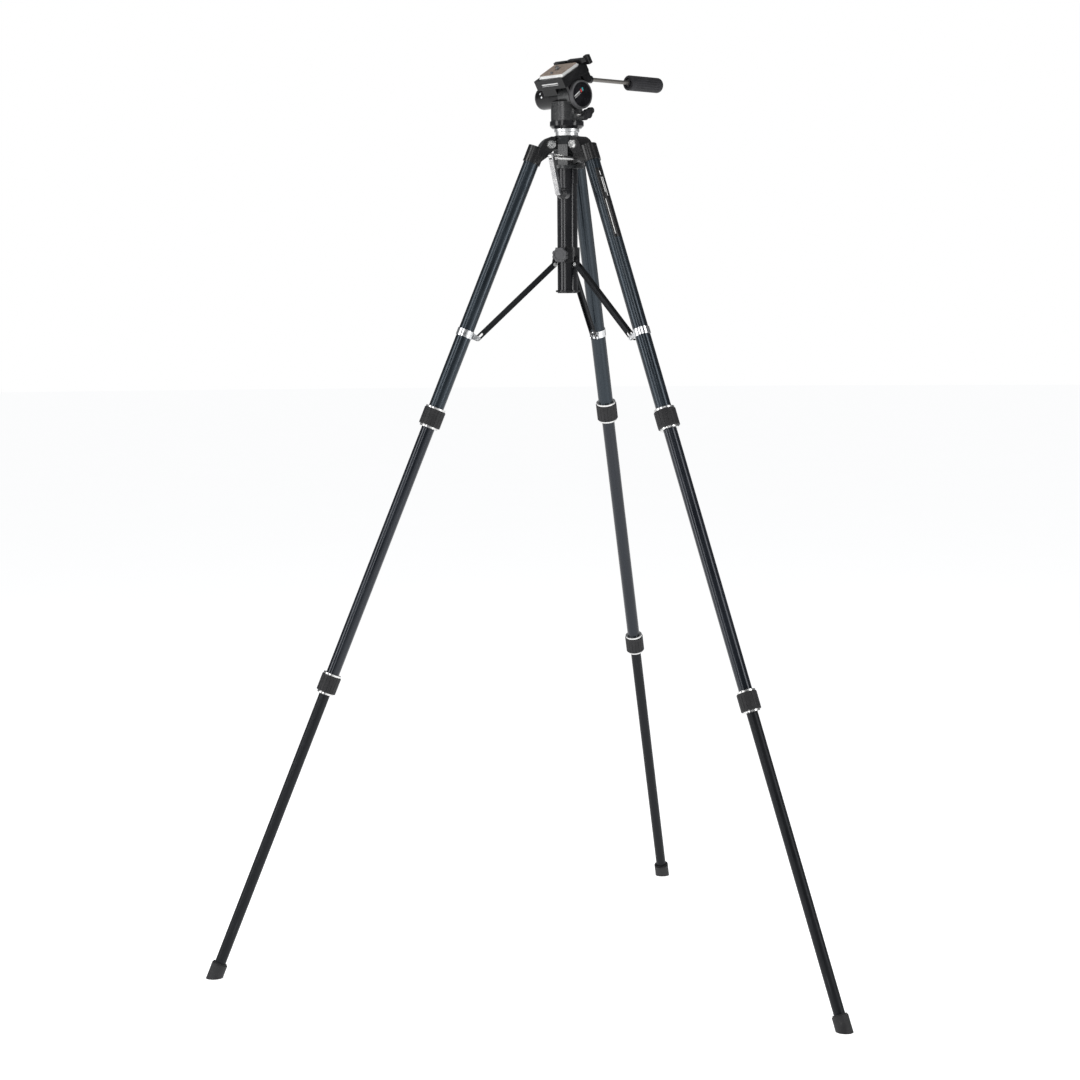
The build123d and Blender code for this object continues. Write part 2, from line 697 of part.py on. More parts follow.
def build_pan():
    with BuildPart() as base:
        with BuildSketch(Plane.XY.offset(BASE_BOTTOM)):
            Circle(24.2)
        with BuildSketch(Plane.XY.offset(BASE_BOTTOM + 4.2)):
            Circle(BASE_R)
        loft()
        ring(Plane.XY.offset(BASE_BOTTOM + 4.2), BASE_R, 0, BASE_TOP - BASE_BOTTOM - 4.2)
        ring(Plane.XY.offset(BASE_TOP), 9.0, 0, 10.0)
        bore(Plane.XY.offset(BASE_BOTTOM - 1.0), 4.76, 11.6)
    save("pan_base", base)

    body_bottom = BASE_TOP + 0.3
    with BuildPart() as body:
        with BuildSketch(Plane.XY.offset(body_bottom)):
            Circle(TOWER_R)
            RectangleRounded(51.0, 51.0, 14.0, mode=Mode.INTERSECT)
        extrude(amount=TOWER_TOP - body_bottom)
        with BuildSketch(tower_side.offset(KNUCKLE_LEFT)):
            Circle(KNUCKLE_R)
        extrude(amount=KNUCKLE_RIGHT - KNUCKLE_LEFT)
        bore(tower_side.offset(-60.0), BARREL_R + 0.5, 60.0 + KNUCKLE_LEFT)
        bore(tower_side.offset(KNUCKLE_RIGHT), CAP_R + 0.6, 20.0)
        bore(tower_side.offset(-60.0), AXLE_R + BOLT_FIT, 120.0)
        bore(Plane.XY.offset(body_bottom - 1.0), 9.0 + 0.1, 11.6)
        bore(facing_plane(0.0, 14.0, 1440.5), 3.0 + BOLT_FIT, 16.0)
    save("pan_body", body)

    screw_plane = facing_plane(0.0, 0.0, 1440.5)
    with BuildPart() as screw:
        ring(screw_plane.offset(15.0), 3.0, 0, 27.0)
    save("pan_lock_screw", screw)

    wing_angle = 40.0
    with BuildPart() as knob:
        ring(screw_plane.offset(40.0), 5.8, 0, 12.0)
        with BuildSketch(screw_plane.offset(46.5)):
            SlotOverall(29.0, 10.5, rotation=wing_angle)
            Circle(8.0)
        extrude(amount=8.0)
        bore(screw_plane.offset(39.0), 3.0, 3.0)
    save("pan_lock_knob", knob)


def build_platform():
    handle_line = Plane(origin=(HANDLE_X, 0, TILT_Z + HANDLE_RISE),
                        x_dir=(1, 0, 0), z_dir=(0, 1, 0))
    boss_end = 31.5
    with BuildPart() as platform:
        with BuildSketch(deck.offset(DECK_BOTTOM)):
            with Locations((0, (DECK_FRONT + DECK_REAR) / 2)):
                Rectangle(2 * DECK_HALF, DECK_REAR - DECK_FRONT)
        extrude(amount=DECK_TOP - DECK_BOTTOM)
        with BuildSketch(deck.offset(DECK_TOP)):
            with Locations((-20.0, 33.5)):
                Rectangle(28.0, 6.0)
        extrude(amount=6.0)
        with BuildSketch(deck.offset(POCKET_FLOOR)):
            with Locations((0, (POCKET_FRONT + POCKET_REAR) / 2)):
                Rectangle(2 * POCKET_HALF, POCKET_REAR - POCKET_FRONT)
        extrude(amount=DECK_TOP - POCKET_FLOOR + 1.0, mode=Mode.SUBTRACT)
        with BuildSketch(deck.offset(DECK_BOTTOM - 1.0)):
            with Locations((0, PLATE_MID)):
                Circle(9.0)
        extrude(amount=POCKET_FLOOR - DECK_BOTTOM + 2.0, mode=Mode.SUBTRACT)
        with BuildSketch(deck_side.offset(BARREL_END)):
            Circle(BARREL_R)
        extrude(amount=KNUCKLE_LEFT - 0.5 - BARREL_END)
        with BuildSketch(deck_side.offset(-DECK_HALF)):
            with Locations((0, DECK_BOTTOM / 2 + 0.5)):
                Rectangle(32.0, DECK_BOTTOM + 1.0)
        extrude(amount=DECK_HALF + KNUCKLE_LEFT - 0.5)
        with BuildSketch(deck_side.offset(KNUCKLE_RIGHT + 0.5)):
            Circle(BARREL_R)
            with Locations((0, DECK_BOTTOM / 2 + 0.5)):
                Rectangle(34.0, DECK_BOTTOM + 1.0)
        extrude(amount=CAP_IN - KNUCKLE_RIGHT - 0.5)
        with BuildSketch(deck_side.offset(HANDLE_X - 7.0)):
            Polygon((21.5, DECK_BOTTOM + 1.0), (21.5, 14.0), (27.0, 8.5), (34.0, 7.0),
                    (DECK_REAR, 14.0), (DECK_REAR, DECK_BOTTOM + 1.0), align=None)
        extrude(amount=14.0)
        ring(handle_line.offset(HANDLE_START - 1.0), 6.5, 0, boss_end - HANDLE_START + 1.0)
        bore(handle_line.offset(HANDLE_START - 0.3), HANDLE_R + BOLT_FIT, 30.0)
        bore(deck_side.offset(-45.0), AXLE_R, 100.0)
    save("tilt_platform", platform)

    with BuildPart() as axle:
        with BuildSketch(deck_side.offset(-44.0)):
            Circle(AXLE_R)
        extrude(amount=44.0 + CAP_IN)
    save("tilt_axle", axle)

    with BuildPart() as cap:
        with BuildSketch(deck_side.offset(CAP_IN)):
            Circle(CAP_R)
        extrude(amount=CAP_OUT - CAP_IN)
        fillet(cap.faces().sort_by(Axis.X)[-1].edges(), radius=1.6)
        with BuildSketch(deck_side.offset(CAP_OUT - 1.0)):
            Circle(CAP_R - 3.4)
        extrude(amount=2.0, mode=Mode.SUBTRACT)
        with BuildSketch(deck_side.offset(CAP_OUT - 1.0)):
            Rectangle(28.0, 7.0)
        extrude(amount=0.5)
    save("drag_cap", cap)

    with BuildPart() as end_cap:
        with BuildSketch(deck_side.offset(BARREL_END - 3.0)):
            Circle(BARREL_R - 0.4)
        extrude(amount=3.0)
        fillet(end_cap.faces().sort_by(Axis.X)[0].edges(), radius=1.2)
        with BuildSketch(deck_side.offset(BARREL_END - 3.0)):
            Circle(12.0)
            Circle(7.0, mode=Mode.SUBTRACT)
        extrude(amount=1.0, mode=Mode.SUBTRACT)
    save("barrel_end_cap", end_cap)


def plate_bore(rear, radius, length):
    """Hole up through the quick-release plate from the pocket floor."""
    floor = deck.offset(POCKET_FLOOR)
    bore(floor.shift_origin(deck_point(0, rear, POCKET_FLOOR)), radius, length)


def deck_disc(rear, up, radius, length):
    """Disc square to the deck, added to the open part."""
    with BuildSketch(deck.offset(up)) as outline:
        with Locations((0, rear)):
            Circle(radius)
    extrude(outline.sketch, amount=length)


def build_quick_release():
    bottom = POCKET_FLOOR + PLATE_LIFT
    with BuildPart() as plate:
        with BuildSketch(deck.offset(bottom)):
            with Locations((0, PLATE_MID)):
                RectangleRounded(*PLATE_SKIRT, 2.0)
        extrude(amount=PLATE_SKIRT_TOP - bottom)
        with BuildSketch(deck.offset(PLATE_SKIRT_TOP)):
            with Locations((0, PLATE_MID)):
                RectangleRounded(*PLATE_SKIRT, 2.0)
        with BuildSketch(deck.offset(PLATE_TOP)):
            with Locations((0, PLATE_MID)):
                RectangleRounded(*PLATE_FACE, 1.6)
        loft()
        plate_bore(PLATE_MID, SCREW_HEAD_R + 0.6, 4.6)
        plate_bore(PLATE_MID, SCREW_R + 0.3, 12.0)
        plate_bore(PIN_AT, PIN_R + 0.3, 12.0)
    save("qr_plate", plate)

    with BuildPart() as pad:
        with BuildSketch(deck.offset(PLATE_TOP)):
            with Locations((0, PLATE_MID)):
                Rectangle(2 * PAD_HALF, 2 * PAD_DEPTH)
                Circle(5.6, mode=Mode.SUBTRACT)
            with Locations((0, PIN_AT)):
                Circle(3.2, mode=Mode.SUBTRACT)
        extrude(amount=PAD_TOP - PLATE_TOP)
    save("qr_pad", pad)

    head_bottom = POCKET_FLOOR + 0.5
    thread_bottom = PAD_TOP + THREAD_GAP
    with BuildPart() as screw:
        deck_disc(PLATE_MID, head_bottom, SCREW_HEAD_R, SCREW_HEAD_TOP - head_bottom)
        deck_disc(PLATE_MID, SCREW_HEAD_TOP - 0.1, SCREW_NECK_R,
                  thread_bottom - SCREW_HEAD_TOP + 0.2)
        deck_disc(PLATE_MID, thread_bottom, SCREW_R, SCREW_TIP - thread_bottom)
        with BuildSketch(deck.offset(head_bottom)):
            with Locations((0, PLATE_MID)):
                Rectangle(14.0, 1.6)
        extrude(amount=1.4, mode=Mode.SUBTRACT)
    save("camera_screw", screw)

    with BuildPart() as pin:
        deck_disc(PIN_AT, PLATE_TOP - 7.0, PIN_R, PIN_TIP - PLATE_TOP + 7.0)
    save("index_pin", pin)


def deck_point(x, rear, up):
    return axle_point + Vector(x, 0, 0) + deck_rear * rear + deck_up * up


def build_lever():
    arm_bottom = DECK_TOP + 0.3
    with BuildPart() as lever:
        with BuildSketch(deck.offset(arm_bottom)):
            with Locations(LEVER_PIVOT):
                Circle(4.8)
            Polygon((2.0, 30.6), (34.0, 30.0), (40.0, 34.0), (40.0, 41.0), (33.0, 38.6),
                    (2.0, 39.2), align=None)
        extrude(amount=LEVER_THICK)
        with BuildSketch(deck.offset(37.0)):
            with Locations((41.0, 39.0)):
                RectangleRounded(10.5, 8.0, 1.5)
        extrude(amount=15.0)
        for index in range(5):
            with BuildSketch(deck.offset(39.0 + 2.6 * index)):
                with Locations((46.4, 39.0)):
                    Rectangle(1.4, 7.0)
            extrude(amount=1.0, mode=Mode.SUBTRACT)
    save("qr_lever", lever)


def build_handle():
    line = Plane(origin=(HANDLE_X, 0, TILT_Z + HANDLE_RISE),
                 x_dir=(1, 0, 0), z_dir=(0, 1, 0))
    with BuildPart() as rod:
        ring(line.offset(HANDLE_START), HANDLE_R, 0, GRIP_END - 12.0 - HANDLE_START)
    save("handle_rod", rod)

    with BuildPart() as grip:
        ring(line.offset(GRIP_START), HANDLE_GRIP_R, 0, GRIP_END - GRIP_START)
        fillet(grip.faces().sort_by(Axis.Y)[-1].edges(), radius=8.0)
        fillet(grip.faces().sort_by(Axis.Y)[0].edges(), radius=2.0)
        with BuildSketch(line.offset(GRIP_START - 0.1)):
            Circle(9.0)
            Circle(5.0, mode=Mode.SUBTRACT)
        extrude(amount=3.0, mode=Mode.SUBTRACT)
        with BuildSketch(line.offset(GRIP_START + 10.0)):
            with PolarLocations(HANDLE_GRIP_R + 0.5, GRIP_FLUTES):
                Circle(1.2)
        extrude(amount=GRIP_END - GRIP_START - 22.0, mode=Mode.SUBTRACT)
        bore(line.offset(GRIP_START - 1.0), HANDLE_R, GRIP_END - 11.0 - GRIP_START)
    save("handle_grip", grip)


os.makedirs("parts", exist_ok=True)
for leg_letter, leg_azimuth in LEGS.items():
    build_leg(leg_letter, leg_azimuth)
build_spider()
build_hinge_bolts()
build_guide()
build_column()
build_crank()
build_collar()
build_pan()
build_platform()
build_quick_release()
build_lever()
build_handle()
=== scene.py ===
import json
import math

import bmesh
import bpy
from mathutils import Matrix, Vector


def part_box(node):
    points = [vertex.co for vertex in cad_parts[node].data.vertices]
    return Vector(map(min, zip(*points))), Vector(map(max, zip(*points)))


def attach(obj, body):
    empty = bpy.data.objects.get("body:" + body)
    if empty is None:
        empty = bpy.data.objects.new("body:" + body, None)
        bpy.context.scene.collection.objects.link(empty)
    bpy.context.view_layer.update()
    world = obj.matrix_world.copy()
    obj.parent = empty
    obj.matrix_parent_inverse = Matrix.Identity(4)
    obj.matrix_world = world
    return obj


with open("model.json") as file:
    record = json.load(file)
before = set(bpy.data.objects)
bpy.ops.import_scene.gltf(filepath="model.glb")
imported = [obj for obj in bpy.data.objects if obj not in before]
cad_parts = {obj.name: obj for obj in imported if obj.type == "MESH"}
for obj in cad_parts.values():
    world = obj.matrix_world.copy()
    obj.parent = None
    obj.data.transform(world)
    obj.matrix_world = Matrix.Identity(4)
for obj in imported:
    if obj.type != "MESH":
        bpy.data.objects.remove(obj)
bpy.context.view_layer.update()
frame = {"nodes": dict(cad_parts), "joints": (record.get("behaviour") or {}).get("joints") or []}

MM = 0.001
NODES = frame["nodes"]
JOINTS = {joint["name"]: joint for joint in frame["joints"]}
TILT_AXIS = Vector(JOINTS["head_tilt"]["pos_m"])
DECK_UP = Vector(JOINTS["camera_screw_turn"]["axis"])
DECK_REAR = Vector((0.0, DECK_UP.z, -DECK_UP.y))
ACROSS = Vector((1.0, 0.0, 0.0))
LEGS = ("a", "b", "c")


# ---- materials ----------------------------------------------------------
class Surface:
    """A procedural material, built up in layers of colour, roughness and relief."""

    def __init__(self, name, colour, roughness, metallic=0.0, coat=0.0, coat_roughness=0.1):
        self.material = bpy.data.materials.new(name)
        self.material.use_nodes = True
        self.tree = self.material.node_tree
        self.shader = self.tree.nodes["Principled BSDF"]
        self.shader.inputs["Metallic"].default_value = metallic
        self.shader.inputs["Coat Weight"].default_value = coat
        self.shader.inputs["Coat Roughness"].default_value = coat_roughness
        self.shader.inputs["Roughness"].default_value = roughness
        self.roughness = roughness
        self.place = self.node("ShaderNodeTexCoord").outputs["Object"]
        start = self.node("ShaderNodeRGB")
        start.outputs[0].default_value = (*colour, 1.0)
        self.colour = start.outputs[0]
        self.normal = None

    def node(self, kind):
        return self.tree.nodes.new(kind)

    def join(self, output, target):
        self.tree.links.new(output, target)

    def turn(self, axis):
        """Turns the pattern so that its z runs along axis."""
        direction = Vector(axis).normalized()
        azimuth = math.atan2(direction.y, direction.x)
        tilt = math.acos(max(-1.0, min(1.0, direction.z)))
        for turned in ((0.0, 0.0, -azimuth), (0.0, -tilt, 0.0)):
            mapping = self.node("ShaderNodeMapping")
            mapping.inputs["Rotation"].default_value = turned
            self.join(self.place, mapping.inputs["Vector"])
            self.place = mapping.outputs[0]
        return self

    def spread(self, stretch):
        mapping = self.node("ShaderNodeMapping")
        mapping.inputs["Scale"].default_value = stretch
        self.join(self.place, mapping.inputs["Vector"])
        return mapping.outputs[0]

    def noise(self, size, stretch=(1.0, 1.0, 1.0), detail=3.0, low=0.35, high=0.65):
        """Cloudy noise with features of this size in metres, spread over 0 to 1."""
        noise = self.node("ShaderNodeTexNoise")
        noise.inputs["Scale"].default_value = 1.0 / size
        noise.inputs["Detail"].default_value = detail
        self.join(self.spread(stretch), noise.inputs["Vector"])
        return self.levels(noise.outputs["Fac"], low, high)

    def cells(self, size, feature="F1", stretch=(1.0, 1.0, 1.0)):
        cells = self.node("ShaderNodeTexVoronoi")
        cells.feature = feature
        cells.inputs["Scale"].default_value = 1.0 / size
        self.join(self.spread(stretch), cells.inputs["Vector"])
        return cells

    def levels(self, value, low, high, out_low=0.0, out_high=1.0):
        levels = self.node("ShaderNodeMapRange")
        levels.inputs["From Min"].default_value = low
        levels.inputs["From Max"].default_value = high
        levels.inputs["To Min"].default_value = out_low
        levels.inputs["To Max"].default_value = out_high
        self.join(value, levels.inputs["Value"])
        return levels.outputs["Result"]

    def maths(self, operation, first, second):
        maths = self.node("ShaderNodeMath")
        maths.operation = operation
        for socket, value in zip(maths.inputs, (first, second)):
            if isinstance(value, (int, float)):
                socket.default_value = value
            else:
                self.join(value, socket)
        return maths.outputs[0]

    def paint(self, colour, mask, amount=1.0):
        """Lays colour over what is there, where mask is 1."""
        mix = self.node("ShaderNodeMix")
        mix.data_type = "RGBA"
        self.join(self.maths("MULTIPLY", mask, amount), mix.inputs["Factor"])
        self.join(self.colour, mix.inputs["A"])
        mix.inputs["B"].default_value = (*colour, 1.0)
        self.colour = mix.outputs["Result"]
        return self

    def shine(self, value, low, high):
        self.join(self.levels(value, 0.0, 1.0, low, high), self.shader.inputs["Roughness"])
        return self

    def relief(self, height, depth, strength=0.6):
        """Adds relief of this depth in metres."""
        bump = self.node("ShaderNodeBump")
        bump.inputs["Distance"].default_value = depth
        bump.inputs["Strength"].default_value = strength
        self.join(height, bump.inputs["Height"])
        if self.normal is not None:
            self.join(self.normal, bump.inputs["Normal"])
        self.normal = bump.outputs["Normal"]
        return self

    def soft_edges(self, radius):
        """Rounds sharp edges, and returns a mask that is 1 along them."""
        bevel = self.node("ShaderNodeBevel")
        bevel.samples = 6
        bevel.inputs["Radius"].default_value = radius
        self.normal = bevel.outputs["Normal"]
        plain = self.node("ShaderNodeNewGeometry")
        dot = self.node("ShaderNodeVectorMath")
        dot.operation = "DOT_PRODUCT"
        self.join(bevel.outputs["Normal"], dot.inputs[0])
        self.join(plain.outputs["Normal"], dot.inputs[1])
        return self.levels(dot.outputs["Value"], 0.995, 0.86)

    def done(self):
        self.join(self.colour, self.shader.inputs["Base Color"])
        if self.normal is not None:
            self.join(self.normal, self.shader.inputs["Normal"])
        return self.material


def lighter(colour, factor):
    return tuple(min(1.0, channel * factor) for channel in colour)


def casting(name, colour, grain, depth, roughness=0.42, gloss=0.28):
    """Die casting under textured black paint, rubbed a little at its edges."""
    look = Surface(name, colour, roughness)
    look.shader.inputs["Specular IOR Level"].default_value = gloss
    edge = look.soft_edges(0.5 * MM)
    cloud = look.noise(22 * MM)
    dimple = look.cells(grain, "SMOOTH_F1").outputs["Distance"]
    fine = look.noise(grain * 0.35, detail=4.0)
    look.paint(lighter(colour, 1.7), cloud, 0.5)
    look.paint(lighter(colour, 2.2), look.levels(dimple, 0.35, 0.75), 0.35)
    rub = look.maths("MULTIPLY", edge, look.noise(4 * MM, low=0.42, high=0.6))
    look.paint((0.20, 0.20, 0.21), rub, 0.35)
    look.shine(look.maths("MULTIPLY", cloud, fine), roughness - 0.08, roughness + 0.14)
    look.relief(dimple, depth)
    look.relief(fine, depth * 0.3)
    return look.done()


def anodised(name, colour, axis, roughness, coat=0.0, metallic=0.75):
    """Drawn aluminium tube with a dyed finish: fine draw lines, smears and rub rings."""
    look = Surface(name, colour, roughness, metallic, coat, 0.08).turn(axis)
    drawn = look.noise(0.5 * MM, stretch=(1.0, 1.0, 0.012), detail=4.0)
    smear = look.noise(30 * MM, stretch=(1.0, 1.0, 0.35), detail=4.0)
    rings = look.noise(1.4 * MM, stretch=(0.02, 0.02, 1.0), detail=2.0, low=0.62, high=0.75)
    scratch = look.noise(2.2 * MM, stretch=(1.0, 1.0, 0.05), low=0.68, high=0.74)
    look.paint(lighter(colour, 1.45), smear, 0.45)
    look.paint(lighter(colour, 0.7), drawn, 0.35)
    look.paint(lighter(colour, 2.4), look.maths("MULTIPLY", rings, smear), 0.22)
    look.paint((0.32, 0.33, 0.35), look.maths("MULTIPLY", scratch, smear), 0.12)
    look.shine(look.maths("ADD", smear, look.maths("MULTIPLY", drawn, 0.4)),
               roughness - 0.06, roughness + 0.10)
    look.relief(drawn, 0.012 * MM)
    look.relief(smear, 0.02 * MM, 0.3)
    return look.done()


def plated(name, colour=(0.78, 0.79, 0.80), roughness=0.14):
    """Bright chrome plate with hair scratches and a few dull spots."""
    look = Surface(name, colour, roughness, 1.0)
    look.soft_edges(0.25 * MM)
    hair = look.noise(0.35 * MM, stretch=(1.0, 0.06, 1.0), low=0.5, high=0.7)
    dull = look.noise(6 * MM, detail=5.0)
    pits = look.levels(look.cells(1.8 * MM).outputs["Distance"], 0.10, 0.02)
    look.paint(lighter(colour, 0.72), dull, 0.35)
    look.paint((0.30, 0.29, 0.28), look.maths("MULTIPLY", pits, dull), 0.6)
    look.shine(look.maths("ADD", look.maths("MULTIPLY", hair, 0.5), dull),
               roughness - 0.05, roughness + 0.16)
    look.relief(hair, 0.004 * MM)
    look.relief(dull, 0.01 * MM, 0.4)
    return look.done()


def turned(name, axis, colour=(0.72, 0.73, 0.74), roughness=0.26):
    """Lathe-turned bare aluminium, its lines running round the axis."""
    look = Surface(name, colour, roughness, 1.0).turn(axis)
    look.soft_edges(0.25 * MM)
    lines = look.noise(0.28 * MM, stretch=(0.01, 0.01, 1.0), detail=2.0)
    haze = look.noise(9 * MM, detail=4.0)
    look.paint(lighter(colour, 0.66), lines, 0.35)
    look.paint((0.52, 0.50, 0.47), haze, 0.25)
    look.shine(look.maths("MULTIPLY", lines, haze), roughness - 0.06, roughness + 0.16)
    look.relief(lines, 0.02 * MM)
    return look.done()


def rubber(name, colour=(0.012, 0.012, 0.013), grain=0.7 * MM, dust=0.3):
    """Moulded rubber: pebbled skin, scuffed high spots and dust in the low ones."""
    look = Surface(name, colour, 0.66)
    look.shader.inputs["Specular IOR Level"].default_value = 0.3
    edge = look.soft_edges(0.35 * MM)
    pebble = look.cells(grain, "SMOOTH_F1").outputs["Distance"]
    cloud = look.noise(14 * MM, detail=4.0)
    speck = look.noise(1.1 * MM, low=0.58, high=0.7)
    look.paint(lighter(colour, 2.2), cloud, 0.5)
    look.paint((0.11, 0.105, 0.10), look.maths("MULTIPLY", speck, cloud), dust)
    look.paint((0.075, 0.075, 0.078), edge, 0.45)
    look.shine(look.maths("MULTIPLY", cloud, pebble), 0.52, 0.82)
    look.relief(pebble, 0.05 * MM)
    look.relief(cloud, 0.08 * MM, 0.3)
    return look.done()


def moulded(name, colour=(0.006, 0.006, 0.007), roughness=0.32, grain=0.45 * MM, gloss=0.4):
    """Moulded black plastic with a spark-eroded grain and finger shine."""
    look = Surface(name, colour, roughness)
    look.shader.inputs["Specular IOR Level"].default_value = gloss
    edge = look.soft_edges(0.3 * MM)
    spark = look.noise(grain, detail=5.0)
    touch = look.noise(11 * MM, detail=3.0)
    look.paint(lighter(colour, 1.9), touch, 0.5)
    look.paint(lighter(colour, 2.4), spark, 0.2)
    look.paint((0.10, 0.10, 0.105), edge, 0.3)
    look.shine(look.maths("MULTIPLY", touch, spark), roughness - 0.08, roughness + 0.2)
    look.relief(spark, 0.02 * MM)
    return look.done()


def cork(name):
    """Cork-rubber sheet: packed brown-grey granules with dark binder between them."""
    base = (0.215, 0.158, 0.122)
    look = Surface(name, base, 0.82)
    look.soft_edges(0.4 * MM)
    big = look.cells(1.5 * MM)
    small = look.cells(0.6 * MM)
    tone = look.node("ShaderNodeSeparateColor")
    look.join(big.outputs["Color"], tone.inputs["Color"])
    gaps = look.levels(look.cells(1.5 * MM, "DISTANCE_TO_EDGE").outputs["Distance"], 0.10, 0.0)
    look.paint((0.33, 0.27, 0.225), tone.outputs["Red"], 0.6)
    look.paint((0.12, 0.085, 0.065), look.levels(tone.outputs["Green"], 0.6, 1.0), 0.6)
    look.paint((0.07, 0.055, 0.045), gaps, 0.45)
    look.paint((0.40, 0.35, 0.30), look.noise(9 * MM), 0.2)
    look.shine(look.noise(5 * MM), 0.70, 0.92)
    look.relief(small.outputs["Distance"], 0.06 * MM)
    look.relief(look.levels(gaps, 0.0, 1.0, 1.0, 0.0), 0.08 * MM)
    return look.done()


def printed(name, colour, roughness=0.3):
    """Screen-printed ink or foil with slight pinholes and rubbed patches."""
    look = Surface(name, colour, roughness)
    pin = look.noise(0.25 * MM, low=0.62, high=0.7)
    worn = look.noise(3 * MM, detail=5.0)
    look.paint(lighter(colour, 0.45), pin, 0.4)
    look.paint(lighter(colour, 0.8), worn, 0.5)
    look.shine(worn, roughness - 0.08, roughness + 0.2)
    look.relief(pin, 0.006 * MM)
    return look.done()


SLATE = (0.022, 0.030, 0.038)
BLUE_BLACK = (0.009, 0.012, 0.018)
SATIN_BLACK = (0.012, 0.013, 0.015)
CAST_BLACK = (0.0045, 0.0045, 0.005)


def dress(material, *nodes):
    for node in nodes:
        slots = NODES[node].data.materials
        for index in range(max(1, len(slots))):
            if index < len(slots):
                slots[index] = material
            else:
                slots.append(material)


def dress_legs():
    chrome = plated("clip_chrome")
    ring = plated("lock_ring_chrome", (0.72, 0.72, 0.71), 0.22)
    grip = rubber("lock_rubber")
    boot = rubber("boot_rubber", (0.014, 0.014, 0.015), 0.9 * MM, 0.5)
    cast = casting("shoulder_cast", (0.005, 0.005, 0.0055), 0.9 * MM, 0.04 * MM, 0.28, 0.45)
    for leg in LEGS:
        axis = JOINTS[f"leg_{leg}_middle_slide"]["axis"]
        dress(anodised(f"leg_{leg}_slate", SLATE, axis, 0.25, 0.2, 0.75), f"leg_{leg}_upper_tube")
        dress(anodised(f"leg_{leg}_blue_black", BLUE_BLACK, axis, 0.22, 0.3, 0.55),
              f"leg_{leg}_middle_tube")
        dress(anodised(f"leg_{leg}_satin_black", SATIN_BLACK, axis, 0.40),
              f"leg_{leg}_lower_tube")
        dress(cast, f"leg_{leg}_shoulder")
        dress(chrome, f"leg_{leg}_brace_clip")
        dress(ring, f"leg_{leg}_upper_lock_core", f"leg_{leg}_lower_lock_core")
        dress(grip, f"leg_{leg}_upper_lock_grip", f"leg_{leg}_lower_lock_grip")
        dress(boot, f"leg_{leg}_foot")
        brace_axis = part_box(f"leg_{leg}_brace")
        dress(anodised(f"leg_{leg}_brace_black", SATIN_BLACK,
                       brace_axis[1] - brace_axis[0], 0.38), f"leg_{leg}_brace")


def dress_centre():
    up = (0.0, 0.0, 1.0)
    chrome = plated("bolt_chrome", (0.74, 0.74, 0.73), 0.18)
    plastic = moulded("black_moulding")
    dress(casting("hub_cast", (0.014, 0.015, 0.016), 1.0 * MM, 0.05 * MM, 0.30, 0.6),
          "spider")
    dress(chrome, "leg_hinge_bolts", "crank_shaft", "pan_lock_screw", "brace_pins")
    # Painted shade: the camera screw is dark partly because it is dark steel and partly because its
    # colour stands in for the shade in the recess at the pad's centre. The index pin shares this dark
    # steel.
    dress(plated("dark_steel_and_painted_shade", (0.20, 0.20, 0.205), 0.3), "camera_screw",
          "index_pin")
    dress(anodised("housing_gloss_black", (0.008, 0.008, 0.010), up, 0.22, 0.4, 0.3),
          "guide_tube")
    dress(moulded("housing_ring", roughness=0.28), "guide_tube_ring", "brace_collar")
    dress(turned("column_turned", up, (0.80, 0.81, 0.82), 0.38), "column_tube", "column_flange")
    dress(moulded("pan_base_gloss", (0.008, 0.008, 0.009), 0.16, 1.2 * MM), "pan_base")
    dress(casting("tower_hammered", (0.016, 0.0165, 0.017), 1.3 * MM, 0.14 * MM, 0.26, 0.75),
          "pan_body")
    dress(casting("head_cast", CAST_BLACK, 0.7 * MM, 0.06 * MM, 0.26, 0.3),
          "tilt_platform", "qr_lever")
    dress(moulded("cap_moulding", (0.040, 0.040, 0.042), 0.36), "drag_cap",
          "barrel_end_cap")
    dress(plastic, "pan_lock_knob", "crank_knob")
    dress(moulded("knob_grey", (0.040, 0.040, 0.043), 0.36), "collar_knob")
    dress(turned("axle_steel", ACROSS, (0.40, 0.39, 0.38)), "tilt_axle")
    dress(plated("plate_nickel", (0.80, 0.80, 0.79), 0.34), "qr_plate")
    dress(cork("cork_rubber"), "qr_pad")
    dress(turned("arm_pressed", up, (0.46, 0.46, 0.47), 0.36), "crank_arm")
    dress(anodised("rod_grey", (0.16, 0.15, 0.14), (0.0, 1.0, 0.0), 0.34), "handle_rod")
    dress(rubber("handle_rubber", (0.010, 0.010, 0.012), 0.8 * MM, 0.3), "handle_grip")


# ---- pieces -------------------------------------------------------------
def make_piece(name, mesh, material, body):
    data = bpy.data.meshes.new(name)
    bmesh.ops.recalc_face_normals(mesh, faces=mesh.faces)
    mesh.to_mesh(data)
    mesh.free()
    piece = bpy.data.objects.new(name, data)
    bpy.context.scene.collection.objects.link(piece)
    data.materials.append(material)
    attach(piece, body)
    return piece


def add_slab(mesh, corners, up, thickness):
    """Adds a closed flat slab with these corners, standing thickness above them."""
    low = [mesh.verts.new(corner) for corner in corners]
    high = [mesh.verts.new(corner + up * thickness) for corner in corners]
    mesh.faces.new(low)
    mesh.faces.new(list(reversed(high)))
    count = len(corners)
    for index in range(count):
        following = (index + 1) % count
        mesh.faces.new((low[index], low[following], high[following], high[index]))


def bridge(mesh, loops, count):
    """Joins closed loops of count vertices with quads, one loop to the next."""
    for first, second in zip(loops, loops[1:]):
        for index in range(count):
            following = (index + 1) % count
            mesh.faces.new((first[index], first[following], second[following],
                            second[index]))


def slanted_bar(origin, along, side, start, end, low, high, slant):
    """Corners of a parallelogram bar on a plane."""
    points = ((start + low * slant, low), (end + low * slant, low),
              (end + high * slant, high), (start + high * slant, high))
    return [origin + along * (u * MM) + side * (v * MM) for u, v in points]


